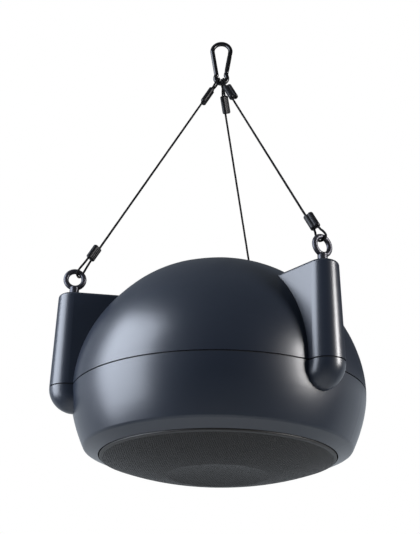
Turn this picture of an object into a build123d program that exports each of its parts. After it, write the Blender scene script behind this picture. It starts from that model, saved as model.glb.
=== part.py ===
from build123d import *
import os
from math import asin, atan, atan2, cos, degrees, radians, sin, tan

# Pendant loudspeaker hung by three wire ropes from one snap hook.
# Sizes are in millimetres. Heights are measured from the joint line of the two shells,
# and the finished pieces are lowered so that the inside of the hook's bow is the origin.

# Height of the hang point above the joint line
HANG_HEIGHT = 490.5

# Enclosure, upper shell
BODY_RADIUS = 170
DOME_HEIGHT = 164
DOME_POWER = 1.93
WALL = 4
JOINT_GROOVE_HEIGHT = 1.5
JOINT_GROOVE_DEPTH = 2
JOINT_SEAL_WIDTH = 1

# Enclosure, lower shell
SKIRT_DEPTH = 64
SKIRT_DRAW_IN = 17.6
SKIRT_RADIUS = BODY_RADIUS - SKIRT_DRAW_IN
SKIRT_POWER = 1.77
SKIRT_ROUND = 5
RIM_FALL = 7.5
RIM_DEPTH = SKIRT_DEPTH + RIM_FALL
RIM_WIDTH = 16.9
OPENING_RADIUS = SKIRT_RADIUS - RIM_WIDTH
BAFFLE_LEDGE = 2
BAFFLE_DEPTH = SKIRT_DEPTH - BAFFLE_LEDGE

# Lugs moulded on the shells
LUG_ANGLES = {"right": -30, "rear": 90, "left": 210}
LUG_STAND_OUT = 4
LUG_OUT = BODY_RADIUS + LUG_STAND_OUT
LUG_TOP = 112.5
LUG_HALF_WIDTH = 20.7
LUG_TOP_HALF_WIDTH = 17.5
LUG_ROUND = 4
LUG_ROOT_INSET = 74
LUG_ROOT = BODY_RADIUS - LUG_ROOT_INSET
NOSE_AXIS_INSET = 8.3
NOSE_AXIS_OUT = LUG_OUT - NOSE_AXIS_INSET
BOSS_RADIUS = 7.5

# Eyebolts and their threaded inserts
EYE_RISE = 21.3
EYE_HEIGHT = LUG_TOP + EYE_RISE
EYE_RING_RADIUS = 10.5
EYE_WIRE_RADIUS = 3.1
EYE_TURNS = {"right": 85, "rear": 0, "left": 0}
EYE_NECK_RADIUS = 5.6
EYE_NECK_OVERLAP = 1.5
EYE_COLLAR_RADIUS = 8
EYE_COLLAR_HEIGHT = 3
SHANK_RADIUS = 4
SHANK_CLEARANCE = 0.3
SHANK_DEPTH = 18
INSERT_RADIUS = 6
INSERT_HEIGHT = 12
INSERT_TOP = -4

# Snap hook, bent from round bar
HOOK_TURN = 20
BAR_RADIUS = 3
BOW_RADIUS = 12
HOOK_EYE_RADIUS = 7.7
HOOK_EYE_DROP = 51.9
WAIST_HALF = 6.6
WAIST_DROP = 45
GATE_PIVOT_UP = 2.5
GATE_LENGTH = 29
GATE_GAP = 0.4
TONGUE_THICK = 2.2
SLOT_WIDTH = 2.6
NOSE_TONGUE_LENGTH = 3
RIVET_RADIUS = 1
RIVET_RUNNING = 0.05
RIVET_HEAD_RADIUS = 1.8
RIVET_HEAD_THICK = 0.7

# Wire ropes and their crimped ferrules
ROPE_RADIUS = 1.4
ROPE_SEAT_GAP = 0.3
LOOP_HALF_WIDTH = 5.3
LOOP_STRAIGHT = 5.4
LEG_OFFSET = 2.5
RUN_SHARE = 0.45
FERRULE_WIDTH = 12
FERRULE_THICK = 7.2
FERRULE_GROOVE_RADIUS = 2.2
FERRULE_GROOVE_DEPTH = 0.7
FERRULE_BORE_GAP = 0.15
FERRULE_CHAMFER = 1.2
DEAD_END_INSET = 1.5
HOOK_SEAT_ANGLES = {"right": 60, "rear": 1, "left": -62}

# For each ferrule its start, its length and the turn of its flat side, and for each loop the turn of its plane
LOWER_FERRULES = {"right": (16.7, 23.6, 30), "rear": (17, 24, 0), "left": (22, 18.7, 130)}
UPPER_FERRULES = {"right": (9.8, 29, -85), "rear": (16.8, 23.6, -50), "left": (14.2, 25, 0)}
LOWER_LOOP_TURNS = {"right": 25, "rear": 0, "left": -30}

# Grille, a domed sheet with a shallow dish in the middle
GRILLE_GAP = 1.1
GRILLE_RADIUS = OPENING_RADIUS - GRILLE_GAP
GRILLE_SHEET = 1.2
GRILLE_MID_INSET = 36.4
GRILLE_MID_FALL = 12.5
GRILLE_CREST_RADIUS = 58
GRILLE_CREST_FALL = 19.7
GRILLE_DISH_RISE = 3.8
CLOTH_THICK = 0.8

# Baffle
BAFFLE_GAP = 0.56
BAFFLE_THICK = 12
BAFFLE_SCREW_INSET = 6.5
BAFFLE_SCREW_CIRCLE = OPENING_RADIUS + BAFFLE_SCREW_INSET
BAFFLE_SCREW_COUNT = 6
BAFFLE_SCREW_RADIUS = 1.8
BAFFLE_SCREW_BITE = 4.5

# Woofer
FRAME_INSET = 30.5
FRAME_RADIUS = OPENING_RADIUS - FRAME_INSET
FRAME_LAP = 8
CUTOUT_RADIUS = FRAME_RADIUS - FRAME_LAP
FRAME_FLANGE = 11.5
FRAME_INNER = FRAME_RADIUS - FRAME_FLANGE
FRAME_SHEET = 2.5
FRAME_NECK = 64
FRAME_LIP = 8
FRAME_WALL_RISE = 40
FRAME_WALL_SHIFT = 1
FRAME_TALL = 54
FRAME_BACK = FRAME_TALL - BAFFLE_DEPTH
FRAME_HOLE_GAP = 5
WINDOW_SIZE = (30, 34, 24)
WINDOW_OUT = 17
WINDOW_RISE = 12
SCREW_INSET = 5.3
SCREW_CIRCLE = FRAME_RADIUS - SCREW_INSET
SCREW_END_GAP = 2
SCREW_RADIUS = 2
SCREW_HEAD_RADIUS = 4
SCREW_HEAD_THICK = 3
GASKET_THICK = 2
POLE_RADIUS = 18.4
COIL_RADIUS = 19
COIL_FORMER = 0.25
COIL_WINDING = 0.35
COIL_GAP = 0.35
COIL_HALF_HEIGHT = 6
COIL_FORMER_RISE = 4
COIL_FORMER_LAP = 1
TOP_PLATE_RADIUS = 50
TOP_PLATE_THICK = 6
MAGNET_RADIUS = 57.5
MAGNET_HOLE = 30
MAGNET_THICK = 17
BACK_PLATE_RADIUS = 52
BACK_PLATE_THICK = 6
POLE_VENT = 5
CONE_INSET = 25
CONE_RADIUS = FRAME_RADIUS - CONE_INSET
CONE_PAPER = 0.9
CONE_NECK_RISE = 36
CONE_NECK_DEPTH = BAFFLE_DEPTH - CONE_NECK_RISE
CONE_RIM_FALL = 0.6
CONE_RIM_DEPTH = BAFFLE_DEPTH + CONE_RIM_FALL
DUST_CAP_RADIUS = 24
DUST_CAP_RISE = 8
DUST_CAP_SHEET = 0.6
ROLL_RADIUS = 6.2
ROLL_SHEET = 0.8
SPIDER_OUTER = 61
SPIDER_LANDING = 6
SPIDER_LEDGE_THICK = 1.5
SPIDER_FALL = 12
SPIDER_DEPTH = SPIDER_FALL - FRAME_BACK
SPIDER_SHEET = 0.6
SPIDER_WAVES = 5
SPIDER_WAVE_HEIGHT = 1

# Tweeter and the bridge that carries it
TWEETER_CAN = 22
TWEETER_BACK_RISE = 12
TWEETER_BACK_DEPTH = BAFFLE_DEPTH - TWEETER_BACK_RISE
TWEETER_FLANGE = 33
TWEETER_FLANGE_FALL = 5
TWEETER_FLANGE_DEPTH = BAFFLE_DEPTH + TWEETER_FLANGE_FALL
TWEETER_FLANGE_THICK = 4
TWEETER_CHAMBER = 2.5
TWEETER_FIT = 0.2
TWEETER_THROAT = 13.4
TWEETER_DOME = 12.9
TWEETER_DOME_RISE = 4.2
TWEETER_DOME_SHEET = 0.4
BRIDGE_HUB_WALL = 3.8
BRIDGE_ARM_WIDTH = 12
BRIDGE_ARM_THICK = 3
BRIDGE_FALL = 14
BRIDGE_FACE_DEPTH = BAFFLE_DEPTH + BRIDGE_FALL
BRIDGE_PAD_RADIUS = 5.2

# Ports
PORT_INSET = 16.2
PORT_CIRCLE = OPENING_RADIUS - PORT_INSET
PORT_BORE = 11
PORT_WALL = 1.5
PORT_LENGTH = 60
PORT_FLANGE = 12.9
PORT_FLANGE_THICK = 2

# Input well and panel on the top of the dome
WELL_INSET = 125
WELL_OUT = BODY_RADIUS - WELL_INSET
WELL_RADIUS = 40
WELL_WALL = 3
WELL_DEPTH = 35
WELL_FLOOR = DOME_HEIGHT - WELL_DEPTH
WELL_OPENING = 32
PANEL_THICK = 2.5
PANEL_GAP = 0.5
PANEL_SCREW_CIRCLE = 36
PANEL_SCREW_RADIUS = 1.4
PANEL_SCREW_HEAD = 2.6
PANEL_SCREW_HEAD_THICK = 2
GLAND_SHIFT = 16
GLAND_BORE = 4.5
GLAND_THREAD = 8
GLAND_HEX = 11
GLAND_BODY_HEIGHT = 9
GLAND_CAP_HEIGHT = 11
GLAND_NUT_THICK = 4
GLAND_THREAD_END = 2
GLAND_CAP_ROUND = 3
SWITCH_SHIFT = -17
SWITCH_RADIUS = 13
SWITCH_HEIGHT = 14
SWITCH_SHAFT = 3
SWITCH_NECK_WALL = 1.5
SWITCH_BORE_DEPTH = 8
SHAFT_RUNNING = 0.06
KNOB_RADIUS = 9
KNOB_HEIGHT = 11
KNOB_GAP = 0.5
KNOB_BASE = 4
KNOB_GRIP_WIDTH = 4
KNOB_GRIP_INSET = 1.25
KNOB_GRIP_ROUND = 1.2
TERMINAL_SIZE = (11, 30, 14)
TERMINAL_SHIFT = 22

# Line transformer
TRANSFORMER_ANGLE = -90
TRANSFORMER_GAP = 19
TRANSFORMER_OUT = FRAME_RADIUS + TRANSFORMER_GAP
CORE_SIZE = (57, 20, 46)
CORE_LIMB = 9.5
COIL_SIZE = (37, 38, 26.4)
STRAP_THICK = 1.2
STRAP_FOOT = 11
STRAP_HOLE = 2

# Crossover board
BOARD_ANGLE = 150
BOARD_GAP = 18
BOARD_OUT = FRAME_RADIUS + BOARD_GAP
BOARD_SIZE = (40, 76, 1.6)
POST_HEIGHT = 8
POST_RADIUS = 3
INDUCTOR_RADIUS = 15
INDUCTOR_HEIGHT = 14
CAPACITOR_RADIUS = 6
CAPACITOR_LENGTH = 28
RESISTOR_SIZE = (9, 24, 9)
LEAD_RADIUS = 2

# Route of the input lead, each point as a side step and its shares of the way out and of the way down
INPUT_LEAD_ROUTE = [(0, 0, 0), (0, 0, 0.19), (3, 0.18, 0.41), (5, 0.54, 0.61), (0, 1, 0.8), (0, 1, 1)]

# Route of the transformer's lead, each point as a bearing, its distance out from the woofer's frame and its
# height over the board's upper face
BOARD_LEAD_ROUTE = [(250, 12, 8), (230.5, -1.3, 5), (210.2, -5.5, 3), (190.6, -7.3, 6), (175.4, -4.7, 14)]
BOARD_LEAD_END = (164.2, 5.2)
BOARD_LEAD_END_RISE = 12
BOARD_LEAD_START = 14

BOTTOM = (Align.CENTER, Align.CENTER, Align.MIN)


def turned(*points):
    # Solid of revolution about the upright axis, from a closed outline of radius and height
    return revolve(Plane.XZ * make_face(Polyline(*points, close=True)), Axis.Z)


def washer(outer, inner, low, high):
    # Flat ring or tube between two heights
    return Pos(0, 0, low) * (Cylinder(outer, high - low, align=BOTTOM) - Cylinder(inner, high - low, align=BOTTOM))


def rod(radius, low, high, out=0, side=0):
    # Upright round bar
    return Pos(out, side, low) * Cylinder(radius, high - low, align=BOTTOM)


def around(angle):
    return Rot(0, 0, angle)


def dome_curve(inset):
    # Outer or inner line of the upper shell from the joint line to the crown
    radius = BODY_RADIUS - inset
    height = DOME_HEIGHT - inset
    steps = [radians(angle) for angle in (0, 15, 30, 45, 60, 75, 90)]
    line = [(radius * cos(a) ** (2 / DOME_POWER), height * sin(a) ** (2 / DOME_POWER)) for a in steps[:-1]]
    line.append((0, height))
    return Spline(*line, tangents=[(0, 1), (-1, 0)])


def dome_solid(inset):
    curve = dome_curve(inset)
    sides = Polyline(curve @ 1, (0, 0), curve @ 0)
    return revolve(Plane.XZ * make_face(curve + sides), Axis.Z)


def skirt_radius(depth, inset=0):
    return BODY_RADIUS - (BODY_RADIUS - SKIRT_RADIUS) * (depth / SKIRT_DEPTH) ** SKIRT_POWER - inset


def skirt_curve(depth, inset):
    # Side line of the lower shell, which leaves the joint line upright and draws in
    shares = (0, 0.3, 0.55, 0.8, 1)
    return Spline(*[(skirt_radius(depth * s, inset), -depth * s) for s in shares])


def skirt_solid():
    curve = skirt_curve(SKIRT_DEPTH, 0)
    closing = Polyline(curve @ 1, (OPENING_RADIUS, -RIM_DEPTH), (0, -RIM_DEPTH), (0, 0), curve @ 0)
    solid = revolve(Plane.XZ * make_face(curve + closing), Axis.Z)
    corner = [e for e in solid.edges() if abs(e.center().Z + SKIRT_DEPTH) < 0.01 and e.length > 2 * SKIRT_RADIUS]
    return fillet(corner, SKIRT_ROUND)


def lug_outline(half_width):
    # Plan of a lug: a round column with parallel sides that run in to the dome
    column = Pos(LUG_OUT, 0) * Circle(half_width)
    fin = Pos((LUG_OUT + LUG_ROOT) / 2, 0) * Rectangle(LUG_OUT - LUG_ROOT, 2 * half_width)
    return column + fin


def lug_draft():
    return degrees(atan((LUG_HALF_WIDTH - LUG_TOP_HALF_WIDTH) / LUG_TOP))


def lug_solid():
    lug = extrude(lug_outline(LUG_HALF_WIDTH), amount=LUG_TOP, taper=lug_draft())
    top = [e for e in lug.edges().group_by(Axis.Z)[-1] if e.center().X > LUG_ROOT + LUG_HALF_WIDTH]
    return fillet(top, LUG_ROUND)


def lug_core():
    # Hollow inside a lug
    return extrude(lug_outline(LUG_HALF_WIDTH - WALL), amount=LUG_TOP - WALL, taper=lug_draft())


def nose_solid(inset):
    # Rounded nose below the joint line: the lug's plan turned down and in to the body
    reach = LUG_OUT + LUG_HALF_WIDTH - NOSE_AXIS_OUT
    outward = Pos(NOSE_AXIS_OUT + reach / 2, 0) * Rectangle(reach, 2 * LUG_HALF_WIDTH)
    plan = lug_outline(LUG_HALF_WIDTH - inset) & outward
    return revolve(plan, Axis((NOSE_AXIS_OUT, 0, 0), (0, 1, 0)), 90)


def joint_plan(inset):
    # Plan of both shells at the joint line, drawn in by an inset
    plan = Circle(BODY_RADIUS - inset)
    for angle in LUG_ANGLES.values():
        plan += around(angle) * lug_outline(LUG_HALF_WIDTH - inset)
    return plan


def joint_rebate(depth, height):
    # Band round the joint line from the outside in to a depth
    band = joint_plan(0) - joint_plan(depth)
    return Pos(0, 0, -height / 2) * extrude(band, amount=height)


def upper_shell():
    shell = dome_solid(0)
    for angle in LUG_ANGLES.values():
        shell += around(angle) * lug_solid()
    shell -= dome_solid(WALL)
    for angle in LUG_ANGLES.values():
        shell -= around(angle) * lug_core()
        boss = rod(BOSS_RADIUS, 0, LUG_TOP - WALL / 2, LUG_OUT)
        shell += around(angle) * boss
        shell -= around(angle) * rod(SHANK_RADIUS + SHANK_CLEARANCE, -1, LUG_TOP + 1, LUG_OUT)
    # Sunk well with a floor that carries the input panel
    well = Pos(0, -WELL_OUT, 0)
    shell += (well * rod(WELL_RADIUS + WELL_WALL, WELL_FLOOR - WELL_WALL, DOME_HEIGHT)) & dome_solid(0)
    shell -= well * rod(WELL_RADIUS, WELL_FLOOR, DOME_HEIGHT + 1)
    shell -= well * rod(WELL_OPENING, WELL_FLOOR - WELL_WALL - 1, WELL_FLOOR + 1)
    for turn in (45, 135, 225, 315):
        shell -= well * around(turn) * rod(PANEL_SCREW_RADIUS, WELL_FLOOR - WELL_WALL - 1, WELL_FLOOR, PANEL_SCREW_CIRCLE)
    return shell - joint_rebate(JOINT_GROOVE_DEPTH + JOINT_SEAL_WIDTH, JOINT_GROOVE_HEIGHT)


def lower_shell():
    shell = skirt_solid()
    for angle in LUG_ANGLES.values():
        boss = rod(BOSS_RADIUS, -BODY_RADIUS, 0, LUG_OUT) & nose_solid(WALL / 2)
        shell += around(angle) * nose_solid(0)
        shell -= around(angle) * nose_solid(WALL)
        shell += around(angle) * boss
    inner = skirt_curve(BAFFLE_DEPTH, WALL)
    closing = Polyline(inner @ 1, (0, -BAFFLE_DEPTH), (0, 0), inner @ 0)
    shell -= revolve(Plane.XZ * make_face(inner + closing), Axis.Z)
    shell -= rod(OPENING_RADIUS, -RIM_DEPTH - 1, -BAFFLE_DEPTH + 1)
    for angle in LUG_ANGLES.values():
        low = INSERT_TOP - INSERT_HEIGHT
        shell -= around(angle) * rod(INSERT_RADIUS, low, INSERT_TOP, LUG_OUT)
        shell -= around(angle) * rod(SHANK_RADIUS + SHANK_CLEARANCE, -SHANK_DEPTH - 1, 1, LUG_OUT)
    for index in range(BAFFLE_SCREW_COUNT):
        hole = rod(BAFFLE_SCREW_RADIUS, -BAFFLE_DEPTH - BAFFLE_SCREW_BITE, -BAFFLE_DEPTH + 1, BAFFLE_SCREW_CIRCLE)
        shell -= around(360 / BAFFLE_SCREW_COUNT * (index + 0.5)) * hole
    return shell - joint_rebate(JOINT_GROOVE_DEPTH + JOINT_SEAL_WIDTH, JOINT_GROOVE_HEIGHT)


def seam_gasket():
    # Rubber band at the bottom of the joint groove
    band = joint_plan(JOINT_GROOVE_DEPTH) - joint_plan(JOINT_GROOVE_DEPTH + JOINT_SEAL_WIDTH)
    return Pos(0, 0, -JOINT_GROOVE_HEIGHT / 2) * extrude(band, amount=JOINT_GROOVE_HEIGHT)


def eyebolt(side):
    ring = around(EYE_TURNS[side]) * Rot(90, 0, 0) * Torus(EYE_RING_RADIUS, EYE_WIRE_RADIUS)
    ring = Pos(LUG_OUT, 0, EYE_HEIGHT) * ring
    neck_top = EYE_HEIGHT - EYE_RING_RADIUS + EYE_NECK_OVERLAP
    neck = rod(EYE_NECK_RADIUS, LUG_TOP, neck_top, LUG_OUT)
    neck = chamfer(neck.edges().group_by(Axis.Z)[-1], EYE_NECK_OVERLAP)
    collar = rod(EYE_COLLAR_RADIUS, LUG_TOP, LUG_TOP + EYE_COLLAR_HEIGHT, LUG_OUT)
    collar = chamfer(collar.edges().group_by(Axis.Z)[-1], EYE_COLLAR_HEIGHT / 3)
    shank = rod(SHANK_RADIUS, -SHANK_DEPTH, LUG_TOP, LUG_OUT)
    return around(LUG_ANGLES[side]) * (ring + neck + collar + shank)


def lug_insert(side):
    # Threaded insert in the lower shell, which the eyebolt screws into
    insert = rod(INSERT_RADIUS, INSERT_TOP - INSERT_HEIGHT, INSERT_TOP, LUG_OUT)
    return around(LUG_ANGLES[side]) * (insert - rod(SHANK_RADIUS, -SHANK_DEPTH, INSERT_TOP + 1, LUG_OUT))


def bow_centre():
    return HANG_HEIGHT - BOW_RADIUS + BAR_RADIUS


def hook_eye_height():
    return HANG_HEIGHT - HOOK_EYE_DROP


def leg_angle():
    # Lean of the hook's legs, tangent to the bow and through the waist
    drop = WAIST_DROP - BOW_RADIUS + BAR_RADIUS
    reach = (WAIST_HALF ** 2 + drop ** 2) ** 0.5
    return asin(BOW_RADIUS / reach) - atan(WAIST_HALF / drop)


def leg_point(up):
    # Point on the right leg, measured up from the waist
    lean = leg_angle()
    return Vector(WAIST_HALF + up * sin(lean), 0, HANG_HEIGHT - WAIST_DROP + up * cos(lean))


def leg_length():
    drop = WAIST_DROP - BOW_RADIUS + BAR_RADIUS
    return (WAIST_HALF ** 2 + drop ** 2 - BOW_RADIUS ** 2) ** 0.5


def leg_foot():
    # How far up from the waist a leg meets the middle line of the hook's eye, which is a little below it
    lean = leg_angle()
    drop = HOOK_EYE_DROP - WAIST_DROP
    middle = WAIST_HALF * sin(lean) + drop * cos(lean)
    return (middle ** 2 - WAIST_HALF ** 2 - drop ** 2 + HOOK_EYE_RADIUS ** 2) ** 0.5 - middle


def bar(start, end, radius=BAR_RADIUS):
    # Round bar between two points
    line = Vector(*end) - Vector(*start)
    return Plane(origin=start, z_dir=line) * Cylinder(radius, line.length, align=BOTTOM)


def leg_plate(thick, low, high, width):
    # Flat plate in the plane of the hook, centred on the right leg
    plane = Plane(origin=leg_point(low), x_dir=(0, 1, 0), z_dir=leg_point(high) - leg_point(low))
    return plane * Box(thick, width, high - low, align=BOTTOM)


def pivot_disc(radius, thick):
    return Plane(origin=leg_point(GATE_PIVOT_UP), z_dir=(0, 1, 0)) * Cylinder(radius, thick)


def hook_placed(shape):
    return around(HOOK_TURN) * shape


def snap_hook_body():
    lean = leg_angle()
    sweep_angle = 180 + 2 * degrees(lean)
    bow = revolve(Pos(BOW_RADIUS, 0, 0) * Circle(BAR_RADIUS), Axis.Y, sweep_angle)
    bow = Pos(0, 0, bow_centre()) * Rot(0, degrees(lean) - sweep_angle, 0) * bow
    top = leg_point(leg_length())
    foot = leg_point(leg_foot())
    left = bar((-top.X, 0, top.Z), (-foot.X, 0, foot.Z)) + Pos(-foot.X, 0, foot.Z) * Sphere(BAR_RADIUS)
    nose_low = GATE_PIVOT_UP + GATE_LENGTH + GATE_GAP
    nose = bar(tuple(top), tuple(leg_point(nose_low)))
    # The eye is bent from the same bar and stays open between the legs
    lift = degrees(atan2(foot.Z - hook_eye_height(), foot.X))
    eye = revolve(Pos(HOOK_EYE_RADIUS, 0, 0) * Circle(BAR_RADIUS), Axis.Y, 180 + 2 * lift)
    eye = Pos(0, 0, hook_eye_height()) * Rot(0, -lift, 0) * eye
    stub = bar(tuple(foot), tuple(leg_point(GATE_PIVOT_UP))) + Pos(*foot) * Sphere(BAR_RADIUS)
    body = bow + left + nose + eye + stub
    body -= Pos(*leg_point(GATE_PIVOT_UP)) * Sphere(BAR_RADIUS + GATE_GAP)
    body += leg_plate(TONGUE_THICK, leg_foot(), GATE_PIVOT_UP, 2 * BAR_RADIUS - 1)
    body += pivot_disc(BAR_RADIUS - 0.5, TONGUE_THICK)
    body += leg_plate(TONGUE_THICK, nose_low - NOSE_TONGUE_LENGTH, nose_low + 1, 2 * BAR_RADIUS - 2)
    body -= pivot_disc(RIVET_RADIUS, 4 * BAR_RADIUS)
    return hook_placed(body)


def snap_hook_gate():
    pivot = leg_point(GATE_PIVOT_UP)
    gate = bar(tuple(pivot), tuple(leg_point(GATE_PIVOT_UP + GATE_LENGTH))) + Pos(*pivot) * Sphere(BAR_RADIUS)
    fork_top = GATE_PIVOT_UP + BAR_RADIUS + 1
    gate -= leg_plate(SLOT_WIDTH, GATE_PIVOT_UP - 2 * BAR_RADIUS, fork_top, 4 * BAR_RADIUS)
    slot_low = GATE_PIVOT_UP + GATE_LENGTH - NOSE_TONGUE_LENGTH - 0.6
    gate -= leg_plate(SLOT_WIDTH, slot_low, GATE_PIVOT_UP + GATE_LENGTH + 1, 4 * BAR_RADIUS)
    gate -= pivot_disc(RIVET_RADIUS + RIVET_RUNNING, 4 * BAR_RADIUS)
    return hook_placed(gate)


def snap_hook_rivet():
    shank = pivot_disc(RIVET_RADIUS, 2 * BAR_RADIUS + 0.2 + 2 * RIVET_HEAD_THICK)
    heads = pivot_disc(RIVET_HEAD_RADIUS, 2 * BAR_RADIUS + 0.2 + 2 * RIVET_HEAD_THICK)
    heads -= pivot_disc(RIVET_HEAD_RADIUS + 1, 2 * BAR_RADIUS + 0.2)
    return hook_placed(shank + heads)


def squared(vector, along):
    # The part of a vector that stands square to a direction, as a unit
    return (vector - along * vector.dot(along)).normalized()


def rope_ends(side):
    # For the eyebolt's end and the hook's end: the middle of the bar that the loop goes round,
    # the way to the ferrule, the loop's and the ferrule's sides and the loop's reach past the bar
    turn = radians(HOOK_TURN)
    across = Vector(cos(turn), sin(turn), 0)
    normal = Vector(sin(turn), -cos(turn), 0)
    outward = Vector(1, 0, 0).rotate(Axis.Z, LUG_ANGLES[side])
    ring_axis = Vector(0, 1, 0).rotate(Axis.Z, LUG_ANGLES[side] + EYE_TURNS[side])
    ring = outward * LUG_OUT + Vector(0, 0, EYE_HEIGHT)
    eye = Vector(0, 0, hook_eye_height())
    # Where the strand lies in the hook's eye, and the middle of the bar below it
    seat = radians(HOOK_SEAT_ANGLES[side])
    seat_radius = HOOK_EYE_RADIUS - BAR_RADIUS - ROPE_RADIUS - ROPE_SEAT_GAP
    strand = (across * sin(seat) + Vector(0, 0, -cos(seat))) * seat_radius
    lean = squared(ring - eye, normal)
    ahead = strand.dot(lean)
    inner = (ahead ** 2 - seat_radius ** 2 + (HOOK_EYE_RADIUS - BAR_RADIUS) ** 2) ** 0.5
    outer = (ahead ** 2 - seat_radius ** 2 + (HOOK_EYE_RADIUS + BAR_RADIUS) ** 2) ** 0.5
    to_bar = (inner + outer) / 2 - ahead
    upper = eye + strand + lean * to_bar
    lower = ring + squared(upper - ring, ring_axis) * EYE_RING_RADIUS
    along = (upper - lower).normalized()
    line = Axis((0, 0, 0), along)
    lower_flat = squared(ring_axis, along).rotate(line, LOWER_FERRULES[side][2])
    lower_side = squared(ring_axis, along).rotate(line, LOWER_LOOP_TURNS[side])
    upper_flat = squared(normal, along).rotate(line, UPPER_FERRULES[side][2])
    upper_side = squared(normal, along)
    # The long run joins the outer strands of the two ferrules
    along = (upper + upper_flat * LEG_OFFSET - lower - lower_flat * LEG_OFFSET).normalized()
    ring_reach = EYE_WIRE_RADIUS + ROPE_RADIUS + ROPE_SEAT_GAP
    hook_reach = max(-to_bar * lean.dot(along), BAR_RADIUS + ROPE_RADIUS + ROPE_SEAT_GAP)
    return (lower, along, lower_side, lower_flat, ring_reach), (upper, along * -1, upper_side, upper_flat, hook_reach)


def loop_points(end, ferrule):
    # Dead end, round the bar and back to the mouth of the ferrule
    centre, along, side, flat, reach = end
    start, length = ferrule[:2]
    if side.dot(flat) < 0:
        side = side * -1
    # The strands close in over a short run whose arcs end at the ferrule
    ahead = start - LOOP_STRAIGHT
    aside = (side * LOOP_HALF_WIDTH - flat * LEG_OFFSET).length
    rest = 1 - RUN_SHARE ** 2
    mouth = LOOP_STRAIGHT + (ahead - RUN_SHARE * (ahead ** 2 + rest * aside ** 2) ** 0.5) / rest
    return [
        centre + along * (start + length - DEAD_END_INSET) - flat * LEG_OFFSET,
        centre + along * mouth - flat * LEG_OFFSET,
        centre + along * LOOP_STRAIGHT - side * LOOP_HALF_WIDTH,
        centre - along * reach - side * LOOP_HALF_WIDTH,
        centre - along * reach + side * LOOP_HALF_WIDTH,
        centre + along * LOOP_STRAIGHT + side * LOOP_HALF_WIDTH,
        centre + along * mouth + flat * LEG_OFFSET,
    ]


def rope_points(side):
    lower, upper = rope_ends(side)
    return loop_points(lower, LOWER_FERRULES[side]) + loop_points(upper, UPPER_FERRULES[side])[::-1]


def tube(points, radius):
    # Round tube along straight runs joined by arcs as large as the runs allow
    bends = []
    for before, corner, after in zip(points, points[1:], points[2:]):
        shorter = min((corner - before).length, (after - corner).length)
        turn = radians((corner - before).get_angle(after - corner))
        bends.append(RUN_SHARE * shorter / tan(turn / 2))
    path = FilletPolyline(*points, radius=bends)
    section = Plane(origin=path @ 0, z_dir=path % 0) * Circle(radius)
    return sweep(section, path=path), path.length, min(bends)


def wire_rope(side):
    solid, length, bend = tube(rope_points(side), ROPE_RADIUS)
    print("wire rope", side, "length", round(length, 1), "tightest bend", round(bend, 2))
    return solid


def ferrule(end, place):
    # Crimped sleeve of two barrels side by side, with tapered ends
    centre, along, flat = end[0], end[1], end[3]
    start, length = place[:2]
    section = SlotOverall(FERRULE_WIDTH, FERRULE_THICK)
    groove = FERRULE_THICK / 2 - FERRULE_GROOVE_DEPTH + FERRULE_GROOVE_RADIUS
    for y in (-groove, groove):
        section -= Pos(0, y) * Circle(FERRULE_GROOVE_RADIUS)
    sleeve = extrude(section, amount=length)
    ends = sleeve.faces().sort_by(Axis.Z)[0].edges() + sleeve.faces().sort_by(Axis.Z)[-1].edges()
    sleeve = chamfer(ends, FERRULE_CHAMFER)
    bore = 2 * (ROPE_RADIUS + FERRULE_BORE_GAP)
    for x in (-LEG_OFFSET, LEG_OFFSET):
        sleeve -= Pos(x, 0, -1) * Cylinder(bore / 2, length + 2, align=BOTTOM)
    return Plane(origin=centre + along * start, x_dir=flat, z_dir=along) * sleeve


def lower_ferrule(side):
    return ferrule(rope_ends(side)[0], LOWER_FERRULES[side])


def upper_ferrule(side):
    return ferrule(rope_ends(side)[1], UPPER_FERRULES[side])


def grille_line(lift):
    # Section of the grille sheet from its rim to its middle, lifted by a sheet thickness
    edge = -RIM_DEPTH + lift
    rim = (GRILLE_RADIUS - lift, edge)
    mid = (GRILLE_RADIUS - GRILLE_MID_INSET, edge - GRILLE_MID_FALL)
    crest = (GRILLE_CREST_RADIUS, edge - GRILLE_CREST_FALL)
    steep = 2 * GRILLE_DISH_RISE / GRILLE_CREST_RADIUS
    dish = Spline(crest, (0, edge - GRILLE_CREST_FALL + GRILLE_DISH_RISE), tangents=[(-1, steep), (-1, 0)])
    return Spline(rim, mid, crest) + dish


def grille_band(lower, upper):
    # Closed section between two lifted copies of the grille's line
    outer = grille_line(lower)
    inner = grille_line(upper)
    rim = Line(inner @ 0, outer @ 0)
    middle = Line(outer @ 1, inner @ 1)
    return revolve(Plane.XZ * make_face(outer + middle + inner + rim), Axis.Z)


def grille():
    flange = washer(GRILLE_RADIUS, GRILLE_RADIUS - GRILLE_SHEET, -RIM_DEPTH, -BAFFLE_DEPTH)
    return grille_band(0, GRILLE_SHEET) + flange


def grille_cloth():
    # Thin cloth laid on the inside of the grille
    return grille_band(GRILLE_SHEET, GRILLE_SHEET + CLOTH_THICK)


def baffle():
    low = -BAFFLE_DEPTH
    top = low + BAFFLE_THICK
    board = washer(skirt_radius(BAFFLE_DEPTH, WALL) - BAFFLE_GAP, CUTOUT_RADIUS, low, top)
    for angle in LUG_ANGLES.values():
        board -= around(angle) * rod(PORT_BORE + PORT_WALL, low - 1, top + 1, PORT_CIRCLE)
    for index in range(BAFFLE_SCREW_COUNT):
        turn = around(360 / BAFFLE_SCREW_COUNT * (index + 0.5))
        board -= turn * rod(BAFFLE_SCREW_RADIUS, low - 1, top + 1, BAFFLE_SCREW_CIRCLE)
        board -= around(60 * index) * rod(SCREW_RADIUS, low - 1, top - SCREW_END_GAP, SCREW_CIRCLE)
    return board


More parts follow.
